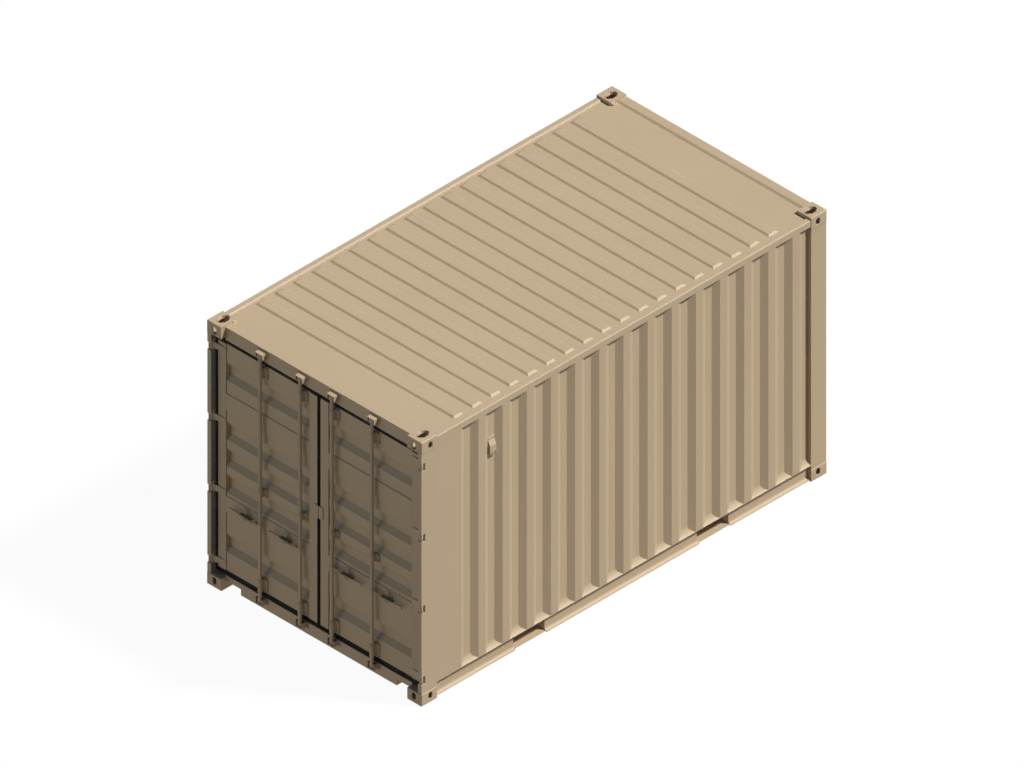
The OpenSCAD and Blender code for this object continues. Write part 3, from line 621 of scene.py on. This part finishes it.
class CONTAINER_OT_rod_collars(Operator):
    """Adds the collars that keep the lock rods from sliding"""

    bl_idname = "container.rod_collars"
    bl_label = "Rod collars"
    bl_options = {"REGISTER", "UNDO"}

    def execute(self, context):
        settings = context.scene.container_fasteners
        paint = finish_named("Container paint", paint_finish, context.scene.container_paint)
        clear_selection()
        bpy.ops.mesh.primitive_cylinder_add(vertices=28, radius=COLLAR_RADIUS, depth=settings.collar)
        master = bpy.context.object
        pick_faces(master, lambda centre, normal: abs(normal.z) > 0.9)
        bpy.ops.mesh.bevel(offset=COLLAR_EDGE, segments=2, affect="EDGES")
        bpy.ops.object.mode_set(mode="OBJECT")
        wear(master, paint)
        leaf_low, leaf_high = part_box("door_frame_right")
        middle = (leaf_low.z + leaf_high.z) / 2 - GUIDE_MIDDLE
        reach = COLLAR_SEAT + settings.collar / 2 + COLLAR_GAP
        for side in SIDES:
            for row in ROWS:
                axis = rod_at(side, row)
                places = [(axis.x, axis.y, middle + up) for up in (-reach, reach)]
                spread(master, places, f"rod_collars_{side}_{row}", f"rod_{side}_{row}")
        put_away(master)
        return {"FINISHED"}


class CONTAINER_OT_handle_plates(Operator):
    """Adds the steel plates on the handle bars, above their catches, dark with painted shade"""

    bl_idname = "container.handle_plates"
    bl_label = "Handle plates"
    bl_options = {"REGISTER", "UNDO"}

    def execute(self, context):
        settings = context.scene.container_fasteners
        plate_shade = finish_named("Plate painted shade", plate_shade_finish)
        front = CAD_BOX[0].x + BOX_GAP
        _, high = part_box("handle_right_outer")
        clear_selection()
        bpy.ops.mesh.primitive_cube_add(size=1)
        master = bpy.context.object
        master.scale = (high.x - front, settings.plate, settings.sheet)
        bpy.ops.object.transform_apply(location=True, rotation=True, scale=True)
        pick_faces(master, lambda centre, normal: normal.z > 0.9)
        bpy.ops.mesh.inset(thickness=settings.sheet * PLATE_RIM)
        sunk = (0, 0, -settings.sheet * PLATE_SUNK)
        bpy.ops.mesh.extrude_region_move(TRANSFORM_OT_translate={"value": sunk})
        bpy.ops.object.mode_set(mode="OBJECT")
        wear(master, plate_shade)
        for side, hand in zip(SIDES, HANDS):
            for row in ROWS:
                name = f"handle_{side}_{row}"
                low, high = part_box(name)
                end = max(abs(low.y), abs(high.y))
                middle = hand * (end - settings.inward) - settings.aside
                place = ((front + high.x) / 2, middle, high.z + settings.sheet * PLATE_SEAT)
                spread(master, [place], f"handle_plate_{side}_{row}", name)
        put_away(master)
        return {"FINISHED"}


class CONTAINER_OT_seal_lips(Operator):
    """Adds the raised lips of the door seals"""

    bl_idname = "container.seal_lips"
    bl_label = "Seal lips"
    bl_options = {"REGISTER", "UNDO"}

    def execute(self, context):
        settings = context.scene.container_seal
        rubber = finish_named("Seal rubber", rubber_finish, settings)
        for side in SIDES:
            low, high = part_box(f"door_seal_{side}")
            middle = (low + high) / 2
            clear_selection()
            bpy.ops.mesh.primitive_plane_add(
                size=1, location=(low.x, middle.y, middle.z), rotation=(0, -math.pi / 2, 0)
            )
            lip = bpy.context.object
            lip.scale = (high.z - low.z - LIP_SMALLER, high.y - low.y - LIP_SMALLER, 1)
            bpy.ops.object.transform_apply(location=True, rotation=True, scale=True)
            bpy.ops.object.mode_set(mode="EDIT")
            bpy.ops.mesh.select_all(action="SELECT")
            bpy.ops.mesh.inset(thickness=settings.lip)
            bpy.ops.mesh.delete(type="FACE")
            bpy.ops.mesh.select_all(action="SELECT")
            bpy.ops.mesh.extrude_region_move(TRANSFORM_OT_translate={"value": (-settings.rise, 0, 0)})
            bpy.ops.mesh.select_all(action="SELECT")
            bpy.ops.mesh.normals_make_consistent(inside=False)
            bpy.ops.object.mode_set(mode="OBJECT")
            soft = lip.modifiers.new("Rounded lip", "BEVEL")
            soft.width = settings.rise * LIP_ROUND
            soft.segments = 3
            bpy.ops.object.modifier_apply(modifier=soft.name)
            lip.name = f"seal_lip_{side}"
            wear(lip, rubber)
            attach(lip, f"door_{side}")
        return {"FINISHED"}


class CONTAINER_OT_post_strips(Operator):
    """Adds grey strips inside the door posts, as painted shade on their inner faces"""

    bl_idname = "container.post_strips"
    bl_label = "Post strips"
    bl_options = {"REGISTER", "UNDO"}

    def execute(self, context):
        settings = context.scene.container_seal
        # The strips' grey is painted shade: it darkens the posts' inner faces, which lie in shade
        grey = finish_named("Grey rubber", rubber_finish, settings, "Grey rubber", settings.grey)
        pins_low, pins_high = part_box("hinge_pins")
        seal_low, seal_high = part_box("door_seal_right")
        half = settings.pin / 2
        pitch = (pins_high.z - pins_low.z - settings.pin) / (HINGES - 1)
        hinges = [pins_low.z + half + pitch * k for k in range(HINGES)]
        starts = [seal_low.z] + [z + settings.above for z in hinges]
        ends = [z - settings.below for z in hinges] + [seal_high.z]
        for side, hand in zip(SIDES, HANDS):
            low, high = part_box(f"rear_post_{side}")
            face = hand * (max(abs(low.y), abs(high.y)) - settings.nose)
            strips = []
            for start, end in zip(starts, ends):
                clear_selection()
                x = low.x + STRIP_BACK + settings.strip / 2
                y = face - hand * settings.rise / 2
                bpy.ops.mesh.primitive_cube_add(size=1, location=(x, y, (start + end) / 2))
                strip = bpy.context.object
                strip.scale = (settings.strip, settings.rise, end - start)
                bpy.ops.object.transform_apply(location=True, rotation=True, scale=True)
                pick_faces(strip, lambda centre, normal: normal.y * hand < -0.9)
                bpy.ops.mesh.inset(thickness=settings.rise)
                bpy.ops.transform.translate(value=(0, -hand * settings.rise * STRIP_CROWN, 0))
                bpy.ops.object.mode_set(mode="OBJECT")
                strips.append(strip)
            clear_selection()
            for strip in strips:
                strip.select_set(True)
            bpy.context.view_layer.objects.active = strips[0]
            bpy.ops.object.join()
            piece = bpy.context.object
            piece.name = f"post_strips_{side}"
            wear(piece, grey)
            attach(piece, "container")
        return {"FINISHED"}


class CONTAINER_OT_floor_screws(Operator):
    """Adds the screws that hold the floor boards"""

    bl_idname = "container.floor_screws"
    bl_label = "Floor screws"
    bl_options = {"REGISTER", "UNDO"}

    def execute(self, context):
        settings = context.scene.container_timber
        low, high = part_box("floor_boards")
        clear_selection()
        bpy.ops.mesh.primitive_cylinder_add(vertices=12, radius=settings.screw / 2, depth=SCREW_HEIGHT)
        master = bpy.context.object
        pick_faces(master, lambda centre, normal: normal.z > 0.9)
        bpy.ops.mesh.inset(thickness=settings.screw * SCREW_RIM)
        bpy.ops.mesh.inset(thickness=settings.screw * SCREW_SLOPE)
        bpy.ops.transform.translate(value=(0, 0, -SCREW_DRIVE))
        bpy.ops.object.mode_set(mode="OBJECT")
        wear(master, finish_named("Zinc plate", zinc_finish))
        width = high.y - low.y
        places = [
            (x, low.y + width * (k + 0.5) / settings.rows, high.z + SCREW_LIFT)
            for x in SCREW_ROWS
            for k in range(settings.rows)
        ]
        spread(master, places, "floor_screws", "container")
        put_away(master)
        return {"FINISHED"}


class CONTAINER_OT_stage(Operator):
    """Sets up the floor, the lights and the camera"""

    bl_idname = "container.stage"
    bl_label = "Studio"
    bl_options = {"REGISTER", "UNDO"}

    def execute(self, context):
        scene = context.scene
        settings = scene.container_stage
        clear_selection()
        bpy.ops.mesh.primitive_plane_add(size=FLOOR_SIZE, location=(0, 0, -FLOOR_DROP))
        floor = bpy.context.object
        floor.name = "studio_floor"
        made, finish = material("Studio floor")
        seen = finish.node("ShaderNodeLightPath", output="Is Camera Ray")
        glossy = finish.node("ShaderNodeLightPath", output="Is Glossy Ray")
        clear = finish.node("ShaderNodeLightPath", output="Is Transmission Ray")
        grain = finish.noise(finish.place(), 2.0, 2.0)
        pale = finish.mix(finish.smooth(grain, 0.3, 0.7), (0.97, 0.97, 0.97), WHITE)
        lit = finish.node("ShaderNodeBsdfDiffuse", {}, {"Color": pale})
        glow = finish.node("ShaderNodeEmission", {}, {"Color": WHITE, "Strength": 1.0})
        white = finish.node("ShaderNodeMixShader", {}, {0: 0.05, 1: glow, 2: lit})
        bounce = finish.node("ShaderNodeEmission", {}, {"Color": settings.bounce, "Strength": 1.0})
        finish.close(finish.node("ShaderNodeMixShader", {}, {0: seen + glossy + clear, 1: bounce, 2: white}))
        wear(floor, made)

        world = bpy.data.worlds.new("Studio light")
        scene.world = world
        finish = Finish(world)
        seen = finish.node("ShaderNodeLightPath", output="Is Camera Ray")
        clear = finish.node("ShaderNodeLightPath", output="Is Transmission Ray")
        around = finish.node("ShaderNodeTexCoord", output="Generated")
        height = finish.node("ShaderNodeSeparateXYZ", {}, {0: around}, output="Z")
        sky = finish.mix(finish.smooth(height, 0.0, 0.8), settings.horizon, settings.zenith)
        white = finish.node("ShaderNodeBackground", {}, {"Color": WHITE, "Strength": 1.0})
        light = finish.node("ShaderNodeBackground", {}, {"Color": sky, "Strength": 1.0})
        both = finish.node("ShaderNodeMixShader", {}, {0: seen + clear, 1: light, 2: white})
        finish.close(both, "ShaderNodeOutputWorld")

        clear_selection()
        bpy.ops.object.light_add(type="SUN", location=(4, -5, 8))
        key = bpy.context.object
        key.name = "key_light"
        key.data.energy = settings.key
        key.data.angle = settings.soft
        key.data.color = KEY_COLOUR
        key.rotation_euler = KEY_FROM.to_track_quat("Z", "Y").to_euler()
        bpy.ops.object.light_add(type="SUN", location=(-8.0, 5.7, 1.0))
        fill = bpy.context.object
        fill.name = "door_fill"
        fill.data.energy = settings.fill
        fill.data.angle = FILL_ANGLE
        fill.data.color = FILL_COLOUR
        fill.rotation_euler = FILL_FROM.to_track_quat("Z", "Y").to_euler()

        right = Vector((1, -1, 0)).normalized()
        back = Vector((-1, -1, 1)).normalized()
        up = back.cross(right)
        bpy.ops.object.camera_add(location=right * CAMERA_ASIDE + up * CAMERA_UP + back * CAMERA_BACK)
        camera = bpy.context.object
        camera.name = "photo_camera"
        camera.rotation_euler = (math.pi / 2 - math.atan(1 / math.sqrt(2)), 0, -math.pi / 4)
        camera.data.type = "ORTHO"
        camera.data.ortho_scale = PHOTO_WIDTH / PIXELS_PER_METRE
        camera.data.clip_end = CAMERA_REACH
        scene.camera = camera
        scene.view_settings.view_transform = "Standard"
        return {"FINISHED"}


class CONTAINER_PT_sidebar(Panel):
    """Steps of the container, in order"""

    bl_idname = "CONTAINER_PT_sidebar"
    bl_label = "Shipping container"
    bl_space_type = "VIEW_3D"
    bl_region_type = "UI"
    bl_category = "Container"

    def draw(self, context):
        layout = self.layout
        for group, settings in SETTINGS.items():
            box = layout.box()
            for name in settings.__annotations__:
                box.prop(getattr(context.scene, group), name)
        for step in STEPS:
            layout.operator(step.bl_idname)


# Settings by their name on the scene
SETTINGS = {
    "container_paint": PaintSettings,
    "container_seal": SealSettings,
    "container_timber": TimberSettings,
    "container_fasteners": FastenerSettings,
    "container_vent": VentSettings,
    "container_stage": StageSettings,
}
# Steps in the order in which main() takes them
STEPS = (
    CONTAINER_OT_paint,
    CONTAINER_OT_guide_bolts,
    CONTAINER_OT_vent_mouths,
    CONTAINER_OT_rod_collars,
    CONTAINER_OT_handle_plates,
    CONTAINER_OT_seal_lips,
    CONTAINER_OT_post_strips,
    CONTAINER_OT_floor_screws,
    CONTAINER_OT_stage,
)


def register():
    for made in (*SETTINGS.values(), *STEPS, CONTAINER_PT_sidebar):
        bpy.utils.register_class(made)
    for group, settings in SETTINGS.items():
        setattr(bpy.types.Scene, group, PointerProperty(type=settings))


def unregister():
    for group in SETTINGS:
        delattr(bpy.types.Scene, group)
    for made in (CONTAINER_PT_sidebar, *reversed(STEPS), *SETTINGS.values()):
        bpy.utils.unregister_class(made)


def main():
    register()
    bpy.ops.container.paint()
    bpy.ops.container.guide_bolts()
    bpy.ops.container.vent_mouths()
    bpy.ops.container.rod_collars()
    bpy.ops.container.handle_plates()
    bpy.ops.container.seal_lips()
    bpy.ops.container.post_strips()
    bpy.ops.container.floor_screws()
    bpy.ops.container.stage()


if __name__ == "__main__":
    main()
